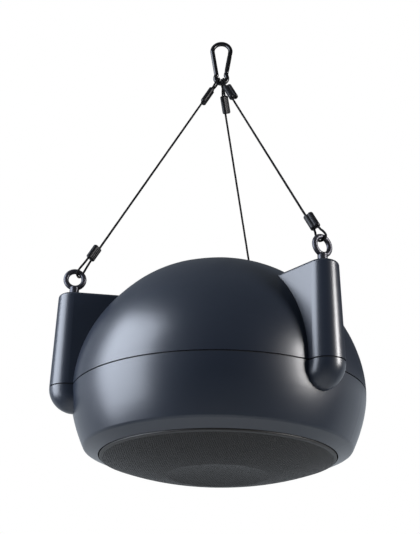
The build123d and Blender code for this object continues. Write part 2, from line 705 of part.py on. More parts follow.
def baffle_screws():
    top = -BAFFLE_DEPTH + BAFFLE_THICK
    screw = rod(BAFFLE_SCREW_RADIUS, -BAFFLE_DEPTH - BAFFLE_SCREW_BITE, top, BAFFLE_SCREW_CIRCLE)
    screw += rod(2 * BAFFLE_SCREW_RADIUS, top, top + BAFFLE_SCREW_RADIUS * 1.4, BAFFLE_SCREW_CIRCLE)
    step = 360 / BAFFLE_SCREW_COUNT
    return Compound(children=[around(step * (index + 0.5)) * screw for index in range(BAFFLE_SCREW_COUNT)])


def port_tube(side):
    low = -BAFFLE_DEPTH
    tube_wall = rod(PORT_BORE + PORT_WALL, low, low + PORT_LENGTH, PORT_CIRCLE)
    flange = rod(PORT_FLANGE, low - PORT_FLANGE_THICK, low, PORT_CIRCLE)
    bore = rod(PORT_BORE, low - PORT_FLANGE_THICK - 1, low + PORT_LENGTH + 1, PORT_CIRCLE)
    return around(LUG_ANGLES[side]) * (tube_wall + flange - bore)


def woofer_basket():
    # Pressed steel frame with six windows
    face = -BAFFLE_DEPTH
    sheet = FRAME_SHEET
    frame = turned(
        (FRAME_RADIUS, face),
        (FRAME_INNER + sheet, face),
        (FRAME_INNER + sheet, face + FRAME_LIP),
        (FRAME_NECK, face + FRAME_WALL_RISE),
        (FRAME_NECK, FRAME_BACK),
        (COIL_RADIUS + FRAME_HOLE_GAP, FRAME_BACK),
        (COIL_RADIUS + FRAME_HOLE_GAP, FRAME_BACK - sheet),
        (FRAME_NECK - sheet, FRAME_BACK - sheet),
        (FRAME_NECK - sheet, face + FRAME_WALL_RISE - FRAME_WALL_SHIFT),
        (FRAME_INNER, face + FRAME_LIP - FRAME_WALL_SHIFT),
        (FRAME_INNER, face - sheet),
        (FRAME_RADIUS, face - sheet),
    )
    ledge = -SPIDER_DEPTH + SPIDER_WAVE_HEIGHT
    frame += washer(FRAME_NECK - sheet / 2, SPIDER_OUTER - SPIDER_LANDING, ledge, ledge + SPIDER_LEDGE_THICK)
    for index in range(6):
        window = Pos(FRAME_NECK + WINDOW_OUT, 0, face + WINDOW_RISE) * Box(*WINDOW_SIZE, align=BOTTOM)
        frame -= around(60 * index + 30) * window
        frame -= around(60 * index) * rod(SCREW_RADIUS, face - sheet - 1, face + 1, SCREW_CIRCLE)
    return frame


def woofer_gasket():
    top = -BAFFLE_DEPTH - FRAME_SHEET - ROLL_SHEET
    ring = washer(FRAME_RADIUS, FRAME_INNER + 1, top - GASKET_THICK, top)
    for index in range(6):
        ring -= around(60 * index) * rod(SCREW_RADIUS, top - GASKET_THICK - 1, top + 1, SCREW_CIRCLE)
    return ring


def gasket_face():
    return -BAFFLE_DEPTH - FRAME_SHEET - ROLL_SHEET - GASKET_THICK


def driver_screws():
    # Three screws hold the frame alone and three hold the bridge too
    screws = []
    for index in range(6):
        seat = -BRIDGE_FACE_DEPTH if index % 2 else gasket_face()
        screw = rod(SCREW_RADIUS, seat, -BAFFLE_DEPTH + BAFFLE_THICK - SCREW_END_GAP, SCREW_CIRCLE)
        screw += rod(SCREW_HEAD_RADIUS, seat - SCREW_HEAD_THICK, seat, SCREW_CIRCLE)
        screws.append(around(60 * index) * screw)
    return Compound(children=screws)


def woofer_top_plate():
    bore = COIL_RADIUS + COIL_WINDING + COIL_GAP
    return washer(TOP_PLATE_RADIUS, bore, FRAME_BACK, FRAME_BACK + TOP_PLATE_THICK)


def woofer_magnet():
    low = FRAME_BACK + TOP_PLATE_THICK
    return washer(MAGNET_RADIUS, MAGNET_HOLE, low, low + MAGNET_THICK)


def woofer_back_plate():
    # Steel back plate in one piece with the pole
    low = FRAME_BACK + TOP_PLATE_THICK + MAGNET_THICK
    plate = rod(BACK_PLATE_RADIUS, low, low + BACK_PLATE_THICK) + rod(POLE_RADIUS, FRAME_BACK, low)
    return plate - rod(POLE_VENT, FRAME_BACK - 1, low + BACK_PLATE_THICK + 1)


def cone_slope():
    return (CONE_RIM_DEPTH - CONE_NECK_DEPTH) / (CONE_RADIUS - COIL_RADIUS)


def voice_coil():
    # Former with its winding in the magnet gap
    low = -CONE_NECK_DEPTH - COIL_FORMER_LAP
    former = washer(COIL_RADIUS, COIL_RADIUS - COIL_FORMER, low, FRAME_BACK + TOP_PLATE_THICK + COIL_FORMER_RISE)
    middle = FRAME_BACK + TOP_PLATE_THICK / 2
    winding = washer(COIL_RADIUS + COIL_WINDING, COIL_RADIUS, middle - COIL_HALF_HEIGHT, middle + COIL_HALF_HEIGHT)
    return former + winding


def woofer_cone():
    return turned(
        (COIL_RADIUS, -CONE_NECK_DEPTH + CONE_PAPER),
        (CONE_RADIUS, -CONE_RIM_DEPTH + CONE_PAPER),
        (CONE_RADIUS, -CONE_RIM_DEPTH),
        (COIL_RADIUS, -CONE_NECK_DEPTH),
    )


def dust_cap():
    # Pressed cap that closes the cone's neck
    edge = -CONE_NECK_DEPTH - (DUST_CAP_RADIUS - COIL_RADIUS) * cone_slope()
    radius = (DUST_CAP_RADIUS ** 2 + DUST_CAP_RISE ** 2) / (2 * DUST_CAP_RISE)
    centre = edge - DUST_CAP_RISE + radius
    ball = Pos(0, 0, centre) * (Sphere(radius) - Sphere(radius - DUST_CAP_SHEET))
    return ball & rod(DUST_CAP_RADIUS, edge - 2 * DUST_CAP_RISE, edge)


def surround():
    # Half roll between the cone's rim and the frame
    centre = CONE_RADIUS + ROLL_RADIUS
    roll = Torus(ROLL_RADIUS + CONE_RADIUS, ROLL_RADIUS) - Torus(ROLL_RADIUS + CONE_RADIUS, ROLL_RADIUS - ROLL_SHEET)
    roll = Pos(0, 0, -CONE_RIM_DEPTH) * (roll & rod(2 * centre, -2 * ROLL_RADIUS, 0))
    face = -BAFFLE_DEPTH - FRAME_SHEET
    landing = washer(FRAME_RADIUS - 1, centre + ROLL_RADIUS - 1, face - ROLL_SHEET, face)
    for index in range(6):
        landing -= around(60 * index) * rod(SCREW_RADIUS + 0.5, face - 5, face + 1, SCREW_CIRCLE)
    return roll + landing


def spider():
    # Corrugated cloth disc that centres the voice coil
    inner = COIL_RADIUS
    landing = SPIDER_OUTER - SPIDER_LANDING
    pitch = (landing - inner) / (2 * SPIDER_WAVES)
    base = -SPIDER_DEPTH
    line = [(inner + pitch * step, base + SPIDER_WAVE_HEIGHT * (step % 2)) for step in range(2 * SPIDER_WAVES)]
    under_ledge = base + SPIDER_WAVE_HEIGHT - SPIDER_SHEET
    line += [(landing, under_ledge), (SPIDER_OUTER, under_ledge)]
    upper = [(radius, height + SPIDER_SHEET) for radius, height in line]
    return turned(*line, *upper[::-1])


def tweeter_housing():
    # Magnet can, flange and short horn of the tweeter
    flange = -TWEETER_FLANGE_DEPTH
    face = flange - TWEETER_FLANGE_THICK
    return turned(
        (0, -TWEETER_BACK_DEPTH),
        (TWEETER_CAN, -TWEETER_BACK_DEPTH),
        (TWEETER_CAN, flange),
        (TWEETER_FLANGE, flange),
        (TWEETER_FLANGE, face),
        (TWEETER_FLANGE - 1, face),
        (TWEETER_THROAT, flange - TWEETER_DOME_SHEET),
        (TWEETER_THROAT, flange + TWEETER_CHAMBER),
        (0, flange + TWEETER_CHAMBER),
    )


def tweeter_dome():
    edge = -TWEETER_FLANGE_DEPTH + TWEETER_CHAMBER - TWEETER_DOME_SHEET
    radius = (TWEETER_DOME ** 2 + TWEETER_DOME_RISE ** 2) / (2 * TWEETER_DOME_RISE)
    centre = edge - TWEETER_DOME_RISE + radius
    ball = Pos(0, 0, centre) * (Sphere(radius) - Sphere(radius - TWEETER_DOME_SHEET))
    return ball & rod(TWEETER_DOME, edge - 2 * TWEETER_DOME_RISE, edge)


def tweeter_bridge():
    # Cast hub with three arms that stand on the woofer's frame
    hub_inner = TWEETER_FLANGE + TWEETER_FIT
    hub_outer = hub_inner + BRIDGE_HUB_WALL
    face = -BRIDGE_FACE_DEPTH
    bridge = washer(hub_outer, hub_inner, face, -TWEETER_FLANGE_DEPTH)
    back = -TWEETER_FLANGE_DEPTH
    bridge += washer(hub_outer, TWEETER_CAN + TWEETER_FIT, back, back + TWEETER_CHAMBER)
    for index in (1, 3, 5):
        span = SCREW_CIRCLE - hub_outer + 1
        arm = Box(span, BRIDGE_ARM_WIDTH, BRIDGE_ARM_THICK, align=(Align.MIN, Align.CENTER, Align.MIN))
        arm = Pos(hub_outer - 1, 0, face) * arm
        arm += rod(BRIDGE_PAD_RADIUS, face, gasket_face(), SCREW_CIRCLE)
        arm -= rod(SCREW_RADIUS, face - 1, gasket_face() + 1, SCREW_CIRCLE)
        bridge += around(60 * index) * arm
    return bridge


def panel_face():
    return WELL_FLOOR + PANEL_THICK


def on_panel(shape):
    return Pos(0, -WELL_OUT, 0) * shape


def input_panel():
    plate = rod(WELL_RADIUS - PANEL_GAP, WELL_FLOOR, panel_face())
    plate -= rod(GLAND_THREAD, WELL_FLOOR - 1, panel_face() + 1, 0, GLAND_SHIFT)
    plate -= rod(SWITCH_SHAFT + SWITCH_NECK_WALL, WELL_FLOOR - 1, panel_face() + 1, 0, SWITCH_SHIFT)
    for turn in (45, 135, 225, 315):
        plate -= around(turn) * rod(PANEL_SCREW_RADIUS, WELL_FLOOR - 1, panel_face() + 1, PANEL_SCREW_CIRCLE)
    return on_panel(plate)


def panel_screws():
    screw = rod(PANEL_SCREW_RADIUS, WELL_FLOOR - WELL_WALL, panel_face(), PANEL_SCREW_CIRCLE)
    screw += rod(PANEL_SCREW_HEAD, panel_face(), panel_face() + PANEL_SCREW_HEAD_THICK, PANEL_SCREW_CIRCLE)
    return Compound(children=[on_panel(around(turn) * screw) for turn in (45, 135, 225, 315)])


def cable_gland():
    # Gland body below, hexagon and domed clamping cap above the panel
    low = WELL_FLOOR - GLAND_NUT_THICK - GLAND_THREAD_END
    face = panel_face()
    body = rod(GLAND_THREAD, low, face)
    body += Pos(0, 0, face) * extrude(RegularPolygon(GLAND_HEX, 6, major_radius=False), amount=GLAND_BODY_HEIGHT)
    cap = rod(GLAND_HEX - 1, face + GLAND_BODY_HEIGHT, face + GLAND_BODY_HEIGHT + GLAND_CAP_HEIGHT)
    cap = fillet(cap.edges().group_by(Axis.Z)[-1], GLAND_CAP_ROUND)
    gland = Pos(0, GLAND_SHIFT, 0) * (body + cap)
    return on_panel(gland - rod(GLAND_BORE, low - 1, face + GLAND_BODY_HEIGHT + GLAND_CAP_HEIGHT + 1, 0, GLAND_SHIFT))


def gland_nut():
    nut = extrude(RegularPolygon(GLAND_HEX, 6, major_radius=False), amount=GLAND_NUT_THICK)
    nut -= rod(GLAND_THREAD, -1, GLAND_NUT_THICK + 1)
    return on_panel(Pos(0, GLAND_SHIFT, WELL_FLOOR - GLAND_NUT_THICK) * nut)


def tap_switch():
    # Rotary tap selector under the panel, with its threaded neck
    body = rod(SWITCH_RADIUS, WELL_FLOOR - SWITCH_HEIGHT, WELL_FLOOR, 0, SWITCH_SHIFT)
    neck = rod(SWITCH_SHAFT + SWITCH_NECK_WALL, WELL_FLOOR, panel_face() + KNOB_GAP / 2, 0, SWITCH_SHIFT)
    bore = rod(SWITCH_SHAFT + SHAFT_RUNNING, WELL_FLOOR - SWITCH_BORE_DEPTH, panel_face() + 1, 0, SWITCH_SHIFT)
    return on_panel(body + neck - bore)


def tap_knob():
    # Knob with a grip bar, in one piece with its shaft
    low = panel_face() + KNOB_GAP
    knob = rod(KNOB_RADIUS, low, low + KNOB_BASE)
    knob = chamfer(knob.edges().group_by(Axis.Z)[-1], 1)
    grip_low = KNOB_BASE - KNOB_GAP
    grip_length = 2 * (KNOB_RADIUS - KNOB_GRIP_INSET)
    grip = Pos(0, 0, low + grip_low) * Box(KNOB_GRIP_WIDTH, grip_length, KNOB_HEIGHT - grip_low, align=BOTTOM)
    knob += fillet(grip.edges().group_by(Axis.Z)[-1], KNOB_GRIP_ROUND)
    knob += rod(SWITCH_SHAFT, WELL_FLOOR - SWITCH_BORE_DEPTH + KNOB_GAP, low + 1)
    return on_panel(Pos(0, SWITCH_SHIFT, 0) * knob)


def terminal_block():
    wide, deep, tall = TERMINAL_SIZE
    block = Pos(TERMINAL_SHIFT, 0, WELL_FLOOR - tall) * Box(wide, deep, tall, align=BOTTOM)
    for index in range(4):
        block -= Pos(TERMINAL_SHIFT, (index - 1.5) * deep / 4, WELL_FLOOR - tall - 1) * Cylinder(2.4, 8, align=BOTTOM)
    return on_panel(block)


def on_baffle(angle, out, shape):
    return around(angle) * Pos(out, 0, -BAFFLE_DEPTH + BAFFLE_THICK) * around(90) * shape


def transformer_core():
    wide, deep, tall = CORE_SIZE
    core = Pos(0, 0, STRAP_THICK) * Box(wide, deep, tall, align=BOTTOM)
    window = Box(CORE_LIMB, deep + 2, tall - 2 * CORE_LIMB)
    for side in (-1.5, 1.5):
        core -= Pos(side * CORE_LIMB, 0, STRAP_THICK + tall / 2) * window
    return on_baffle(TRANSFORMER_ANGLE, TRANSFORMER_OUT, core)


def transformer_coil():
    wide, deep, tall = COIL_SIZE
    middle = STRAP_THICK + CORE_SIZE[2] / 2
    coil = fillet(Box(wide, deep, tall).edges().filter_by(Axis.Z), 4)
    coil -= Box(2 * CORE_LIMB, CORE_SIZE[1], tall + 2)
    return on_baffle(TRANSFORMER_ANGLE, TRANSFORMER_OUT, Pos(0, 0, middle) * coil)


def transformer_bracket():
    # Steel strap over the core with two feet
    wide, deep, tall = CORE_SIZE
    outer = Box(wide + 2 * STRAP_THICK, deep, tall + 2 * STRAP_THICK, align=BOTTOM)
    strap = outer - Pos(0, 0, STRAP_THICK) * Box(wide, deep + 2, tall, align=BOTTOM)
    strap += Box(wide + 2 * STRAP_FOOT, deep, STRAP_THICK, align=BOTTOM)
    for side in (-1, 1):
        hole = wide / 2 + (STRAP_FOOT + STRAP_THICK) / 2
        strap -= Pos(side * hole, 0, -1) * Cylinder(STRAP_HOLE, 4, align=BOTTOM)
    return on_baffle(TRANSFORMER_ANGLE, TRANSFORMER_OUT, strap)


def on_board(shape):
    return around(BOARD_ANGLE) * Pos(BOARD_OUT, 0, -BAFFLE_DEPTH + BAFFLE_THICK + POST_HEIGHT) * shape


def crossover_board():
    return on_board(Box(*BOARD_SIZE, align=BOTTOM))


def board_posts():
    reach_x = BOARD_SIZE[0] / 2 - 4
    reach_y = BOARD_SIZE[1] / 2 - 4
    post = Pos(0, 0, -POST_HEIGHT) * Cylinder(POST_RADIUS, POST_HEIGHT, align=BOTTOM)
    places = [(x, y) for x in (-reach_x, reach_x) for y in (-reach_y, reach_y)]
    return Compound(children=[on_board(Pos(x, y, 0) * post) for x, y in places])


def crossover_inductor():
    spool = Cylinder(INDUCTOR_RADIUS, INDUCTOR_HEIGHT, align=BOTTOM) - Pos(0, 0, -1) * Cylinder(4, 30, align=BOTTOM)
    groove = Cylinder(INDUCTOR_RADIUS + 1, INDUCTOR_HEIGHT - 3) - Cylinder(INDUCTOR_RADIUS - 1, INDUCTOR_HEIGHT)
    spool -= Pos(0, 0, INDUCTOR_HEIGHT / 2) * groove
    return on_board(Pos(0, -20, BOARD_SIZE[2]) * spool)


def crossover_capacitors():
    can = Rot(0, 90, 0) * Cylinder(CAPACITOR_RADIUS, CAPACITOR_LENGTH)
    high = BOARD_SIZE[2] + CAPACITOR_RADIUS
    return Compound(children=[on_board(Pos(0, y, high) * can) for y in (3, 17)])


def crossover_resistor():
    wide, deep, tall = RESISTOR_SIZE
    return on_board(Pos(0, 30, BOARD_SIZE[2]) * Box(deep, wide, tall, align=BOTTOM))


def lead(*points):
    solid, length, bend = tube([Vector(*point) for point in points], LEAD_RADIUS)
    print("lead length", round(length, 1), "tightest bend", round(bend, 2))
    return solid


def input_lead():
    # From the tap switch down to the transformer's winding
    top = WELL_FLOOR - SWITCH_HEIGHT
    coil_top = -BAFFLE_DEPTH + BAFFLE_THICK + STRAP_THICK + CORE_SIZE[2] / 2 + COIL_SIZE[2] / 2
    start = -WELL_OUT + SWITCH_SHIFT
    end = -TRANSFORMER_OUT - COIL_SIZE[1] / 2 + 2 * LEAD_RADIUS
    route = []
    for step, out, down in INPUT_LEAD_ROUTE:
        route.append((step, start + out * (end - start), top + down * (coil_top - top)))
    return lead(*route)


def transformer_lead():
    # From the transformer between the port and the woofer to the crossover board
    board_top = -BAFFLE_DEPTH + BAFFLE_THICK + POST_HEIGHT + BOARD_SIZE[2]
    start = (-COIL_SIZE[0] / 2, -TRANSFORMER_OUT + BOARD_LEAD_START, board_top + BOARD_LEAD_ROUTE[0][2])
    route = [Vector(*start)]
    for bearing, out, rise in BOARD_LEAD_ROUTE:
        route.append(Vector(FRAME_RADIUS + out, 0, board_top + rise).rotate(Axis.Z, bearing))
    bearing, out = BOARD_LEAD_END
    end = Vector(FRAME_RADIUS + out, 0, board_top).rotate(Axis.Z, bearing)
    return lead(*route, end + Vector(0, 0, BOARD_LEAD_END_RISE), end)


PARTS = {
    "snap_hook_body": snap_hook_body,
    "snap_hook_gate": snap_hook_gate,
    "snap_hook_rivet": snap_hook_rivet,
    "upper_shell": upper_shell,
    "lower_shell": lower_shell,
    "seam_gasket": seam_gasket,
    "grille": grille,
    "grille_cloth": grille_cloth,
    "baffle": baffle,
    "baffle_screws": baffle_screws,
    "woofer_basket": woofer_basket,
    "woofer_gasket": woofer_gasket,
    "driver_screws": driver_screws,
    "woofer_top_plate": woofer_top_plate,
    "woofer_magnet": woofer_magnet,
    "woofer_back_plate": woofer_back_plate,
    "voice_coil": voice_coil,
    "woofer_cone": woofer_cone,
    "dust_cap": dust_cap,
    "surround": surround,
    "spider": spider,
    "tweeter_housing": tweeter_housing,
    "tweeter_dome": tweeter_dome,
    "tweeter_bridge": tweeter_bridge,
    "input_panel": input_panel,
    "panel_screws": panel_screws,
    "cable_gland": cable_gland,
    "gland_nut": gland_nut,
    "tap_switch": tap_switch,
    "tap_knob": tap_knob,
    "terminal_block": terminal_block,
    "transformer_core": transformer_core,
    "transformer_coil": transformer_coil,
    "transformer_bracket": transformer_bracket,
    "crossover_board": crossover_board,
    "board_posts": board_posts,
    "crossover_inductor": crossover_inductor,
    "crossover_capacitors": crossover_capacitors,
    "crossover_resistor": crossover_resistor,
    "input_lead": input_lead,
    "transformer_lead": transformer_lead,
}


def save(name, shape):
    export_step(Pos(0, 0, -HANG_HEIGHT) * shape, f"parts/{name}.step")


os.makedirs("parts", exist_ok=True)
for name, build in PARTS.items():
    save(name, build())
for side in LUG_ANGLES:
    save(f"eyebolt_{side}", eyebolt(side))
    save(f"lug_insert_{side}", lug_insert(side))
    save(f"port_tube_{side}", port_tube(side))
    save(f"wire_rope_{side}", wire_rope(side))
    save(f"lower_ferrule_{side}", lower_ferrule(side))
    save(f"upper_ferrule_{side}", upper_ferrule(side))
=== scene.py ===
import math

import bmesh
import bpy
from mathutils import Matrix, Vector


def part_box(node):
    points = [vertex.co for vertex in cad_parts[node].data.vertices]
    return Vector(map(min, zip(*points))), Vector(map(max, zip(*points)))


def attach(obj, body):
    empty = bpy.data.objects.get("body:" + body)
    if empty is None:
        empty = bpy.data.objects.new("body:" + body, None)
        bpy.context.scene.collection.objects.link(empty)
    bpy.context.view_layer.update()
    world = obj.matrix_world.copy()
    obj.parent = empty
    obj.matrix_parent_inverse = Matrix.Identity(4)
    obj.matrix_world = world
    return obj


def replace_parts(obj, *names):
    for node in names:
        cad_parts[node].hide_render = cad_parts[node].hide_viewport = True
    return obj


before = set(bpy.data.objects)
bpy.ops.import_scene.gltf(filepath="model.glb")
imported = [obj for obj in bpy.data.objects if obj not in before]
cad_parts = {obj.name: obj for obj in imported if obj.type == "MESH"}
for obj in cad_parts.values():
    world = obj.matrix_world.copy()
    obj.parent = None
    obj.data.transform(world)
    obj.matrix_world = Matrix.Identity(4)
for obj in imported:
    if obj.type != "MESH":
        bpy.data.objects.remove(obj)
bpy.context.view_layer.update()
scene = bpy.context.scene
scene.view_settings.view_transform = "Standard"

# Camera
# It looks up from below, as in the photograph, with a long lens. The sensor's width belongs to the
# long side of the picture.
CAMERA_PLACE = (0.3981, -1.0979, -0.8345)
HEADING = math.radians(-20.505)
TILT = math.radians(23.56)
ROLL = math.radians(0.73)
SENSOR = 36
LENS = 70.19

forward = Vector(
    (math.sin(HEADING) * math.cos(TILT), math.cos(HEADING) * math.cos(TILT), math.sin(TILT))
)
level = Vector((math.cos(HEADING), -math.sin(HEADING), 0))
upward = level.cross(forward)
right = level * math.cos(ROLL) + upward * math.sin(ROLL)
above = upward * math.cos(ROLL) - level * math.sin(ROLL)
camera = bpy.data.objects.new("camera", bpy.data.cameras.new("camera"))
camera.data.sensor_width = SENSOR
camera.data.lens = LENS
camera.data.clip_start = 0.05
camera.data.clip_end = 60
turned = Matrix((right, above, -forward)).transposed()
camera.matrix_world = Matrix.Translation(CAMERA_PLACE) @ turned.to_4x4()
scene.collection.objects.link(camera)
scene.camera = camera

# Wire ropes
# Three blackened steel ropes, each laid from six compacted strands, with a loop round the hook's eye
# and a loop round an eyebolt's ring. Sizes are in millimetres, and a route repeats its solid's
# points.
HANG_HEIGHT = 490.5
HOOK_TURN = math.radians(20)
HOOK_EYE = Vector((0, 0, 438.6))
HOOK_EYE_RADIUS = 7.7
HOOK_BAR_RADIUS = 3
HOOK_SEATS = {"right": 60, "rear": 1, "left": -62}
LUG_ANGLES = {"right": -30, "rear": 90, "left": 210}
LUG_OUT = 174
EYE_HEIGHT = 133.8
EYE_RING_RADIUS = 10.5
EYE_WIRE_RADIUS = 3.1
EYE_TURNS = {"right": 85, "rear": 0, "left": 0}
ROPE_RADIUS = 1.4
ROPE_SEAT_GAP = 0.3
# Start and length of the ferrule along the rope's end, and its turn about it in degrees
LOWER_FERRULES = {"right": (16.7, 23.6, 30), "rear": (17, 24, 0), "left": (22, 18.7, 130)}
UPPER_FERRULES = {"right": (9.8, 29, -85), "rear": (16.8, 23.6, -50), "left": (14.2, 25, 0)}
LOWER_LOOP_TURNS = {"right": 25, "rear": 0, "left": -30}
LEG_OFFSET = 2.5
LOOP_HALF_WIDTH = 5.3
LOOP_STRAIGHT = 5.4
DEAD_END_INSET = 1.5
CLOSING_SHARE = 0.45
RING_CLEARANCE = 17
STRANDS = 6
STRAND_RADIUS = 0.6
ROPE_LAY = 18
ROPE_STEP = 1.4
ROUTE_STEPS = 24


def squared(vector, along):
    # The part of a vector that stands square to a direction, as a unit
    return (vector - along * vector.dot(along)).normalized()


def turned_by(vector, degrees, axis=(0, 0, 1)):
    return Matrix.Rotation(math.radians(degrees), 3, axis) @ vector


def rope_ends(side):
    # For the eyebolt's end and the hook's end: the middle of the bar that the loop goes round, the way
    # to the ferrule, the loop's and the ferrule's sides, and the loop's reach past the bar
    across = Vector((math.cos(HOOK_TURN), math.sin(HOOK_TURN), 0))
    normal = Vector((math.sin(HOOK_TURN), -math.cos(HOOK_TURN), 0))
    ring_axis = turned_by(Vector((0, 1, 0)), LUG_ANGLES[side] + EYE_TURNS[side])
    ring = turned_by(Vector((LUG_OUT, 0, EYE_HEIGHT)), LUG_ANGLES[side])
    seat = math.radians(HOOK_SEATS[side])
    seat_radius = HOOK_EYE_RADIUS - HOOK_BAR_RADIUS - ROPE_RADIUS - ROPE_SEAT_GAP
    strand = (across * math.sin(seat) + Vector((0, 0, -math.cos(seat)))) * seat_radius
    lean = squared(ring - HOOK_EYE, normal)
    ahead = strand.dot(lean)
    inner = math.sqrt(ahead**2 - seat_radius**2 + (HOOK_EYE_RADIUS - HOOK_BAR_RADIUS) ** 2)
    outer = math.sqrt(ahead**2 - seat_radius**2 + (HOOK_EYE_RADIUS + HOOK_BAR_RADIUS) ** 2)
    to_bar = (inner + outer) / 2 - ahead
    upper = HOOK_EYE + strand + lean * to_bar
    lower = ring + squared(upper - ring, ring_axis) * EYE_RING_RADIUS
    along = (upper - lower).normalized()
    lower_side = squared(ring_axis, along)
    upper_side = squared(normal, along)
    lower_flat = turned_by(lower_side, LOWER_FERRULES[side][2], along)
    upper_flat = turned_by(upper_side, UPPER_FERRULES[side][2], along)
    lower_side = turned_by(lower_side, LOWER_LOOP_TURNS[side], along)
    along = (upper + upper_flat * LEG_OFFSET - lower - lower_flat * LEG_OFFSET).normalized()
    ring_reach = EYE_WIRE_RADIUS + ROPE_RADIUS + ROPE_SEAT_GAP
    hook_reach = max(-to_bar * lean.dot(along), HOOK_BAR_RADIUS + ROPE_RADIUS + ROPE_SEAT_GAP)
    eyebolt_end = (lower, along, lower_side, lower_flat, ring_reach)
    return eyebolt_end, (upper, -along, upper_side, upper_flat, hook_reach)


def loop_points(end, ferrule):
    # Dead end, round the bar and back to the mouth of the ferrule
    centre, along, side, flat, reach = end
    start, length = ferrule[:2]
    if side.dot(flat) < 0:
        side = -side
    ahead = start - LOOP_STRAIGHT
    aside = (side * LOOP_HALF_WIDTH - flat * LEG_OFFSET).length
    rest = 1 - CLOSING_SHARE**2
    mouth = LOOP_STRAIGHT + (ahead - CLOSING_SHARE * math.sqrt(ahead**2 + rest * aside**2)) / rest
    return [
        centre + along * (start + length - DEAD_END_INSET) - flat * LEG_OFFSET,
        centre + along * mouth - flat * LEG_OFFSET,
        centre + along * LOOP_STRAIGHT - side * LOOP_HALF_WIDTH,
        centre - along * reach - side * LOOP_HALF_WIDTH,
        centre - along * reach + side * LOOP_HALF_WIDTH,
        centre + along * LOOP_STRAIGHT + side * LOOP_HALF_WIDTH,
        centre + along * mouth + flat * LEG_OFFSET,
    ]


def rope_route(side):
    # The solid's points in metres, with one more at each end of the long straight run
    lower, upper = rope_ends(side)
    eyebolt_loop = loop_points(lower, LOWER_FERRULES[side])
    hook_loop = loop_points(upper, UPPER_FERRULES[side])[::-1]
    run = (hook_loop[0] - eyebolt_loop[-1]).normalized() * RING_CLEARANCE
    points = eyebolt_loop + [eyebolt_loop[-1] + run, hook_loop[0] - run] + hook_loop
    return [(point - Vector((0, 0, HANG_HEIGHT))) / 1000 for point in points]


def curve_points(name, lines, order, radius=0):
    # The mesh of a curve: its line alone, or a round tube along each line
    curve = bpy.data.curves.new(name, "CURVE")
    curve.dimensions = "3D"
    curve.resolution_u = ROUTE_STEPS
    curve.bevel_depth = radius
    curve.bevel_resolution = 1
    curve.use_fill_caps = True
    for points in lines:
        spline = curve.splines.new("NURBS" if order else "POLY")
        spline.points.add(len(points) - 1)
        for target, point in zip(spline.points, points):
            target.co = (*point, 1)
        if order:
            spline.order_u = order
            spline.use_endpoint_u = True
    holder = bpy.data.objects.new(name, curve)
    mesh = bpy.data.meshes.new_from_object(holder)
    bpy.data.objects.remove(holder)
    bpy.data.curves.remove(curve)
    return mesh


def evenly(line, step):
    # Points at equal distances along a line
    marks = [0.0]
    for a, b in zip(line, line[1:]):
        marks.append(marks[-1] + (b - a).length)
    count = round(marks[-1] / step)
    points = []
    place = 0
    for index in range(count + 1):
        goal = marks[-1] * index / count
        while place < len(marks) - 2 and marks[place + 1] < goal:
            place += 1
        span = marks[place + 1] - marks[place]
        points.append(line[place].lerp(line[place + 1], (goal - marks[place]) / span))
    return points


def laid_strands(points):
    # The middle lines of the strands that turn round the rope's own
    strands = [[] for _ in range(STRANDS)]
    reach = (ROPE_RADIUS - STRAND_RADIUS) / 1000
    side = (points[1] - points[0]).orthogonal().normalized()
    for index, point in enumerate(points):
        ahead = (points[min(index + 1, len(points) - 1)] - points[max(index - 1, 0)]).normalized()
        side = squared(side, ahead)
        other = ahead.cross(side)
        for number, strand in enumerate(strands):
            turn = 2 * math.pi * (number / STRANDS + index * ROPE_STEP / ROPE_LAY)
            strand.append(point + (side * math.cos(turn) + other * math.sin(turn)) * reach)
    return strands


def linear(code):
    # An sRGB hex colour as linear values
    parts = [int(code[i : i + 2], 16) / 255 for i in (0, 2, 4)]
    return [c / 12.92 if c <= 0.04045 else ((c + 0.055) / 1.055) ** 2.4 for c in parts] + [1.0]


def add_node(material, kind, inputs=None, **settings):
    # One shader node with its values and links
    node = material.node_tree.nodes.new(kind)
    for key, value in settings.items():
        setattr(node, key, value)
    for key, value in (inputs or {}).items():
        if isinstance(value, bpy.types.NodeSocket):
            material.node_tree.links.new(value, node.inputs[key])
        else:
            node.inputs[key].default_value = value
    return node


def finish(
    name,
    dark,
    light,
    roughness,
    metallic=0.0,
    grain=1.0,
    patch=120.0,
    spread=0.05,
    relief=0.005,
    mirror=0.5,
):
    # A surface whose colour drifts over a patch and whose gloss and height vary with its grain.
    # Grain, patch and relief are in millimetres, and 0.5 is the usual mirroring of a plastic.
    material = bpy.data.materials.new(name)
    material.use_nodes = True
    shader = material.node_tree.nodes["Principled BSDF"]
    shader.inputs["Metallic"].default_value = metallic
    shader.inputs["Specular IOR Level"].default_value = mirror
    place = add_node(material, "ShaderNodeTexCoord").outputs["Object"]
    slow = add_node(
        material, "ShaderNodeTexNoise", {"Vector": place, "Scale": 1000 / patch, "Detail": 3.0}
    )
    colour = add_node(
        material,
        "ShaderNodeMix",
        {0: slow.outputs["Fac"], 6: linear(dark), 7: linear(light)},
        data_type="RGBA",
    )
    fine = add_node(
        material, "ShaderNodeTexNoise", {"Vector": place, "Scale": 1000 / grain, "Detail": 4.0}
    )
    gloss = add_node(
        material,
        "ShaderNodeMapRange",
        {"Value": fine.outputs["Fac"], "To Min": roughness - spread, "To Max": roughness + spread},
    )
    bump = add_node(
        material,
        "ShaderNodeBump",
        {"Height": fine.outputs["Fac"], "Strength": 0.3, "Distance": relief / 1000},
    )
    material.node_tree.links.new(colour.outputs[2], shader.inputs["Base Color"])
    material.node_tree.links.new(gloss.outputs["Result"], shader.inputs["Roughness"])
    material.node_tree.links.new(bump.outputs["Normal"], shader.inputs["Normal"])
    return material


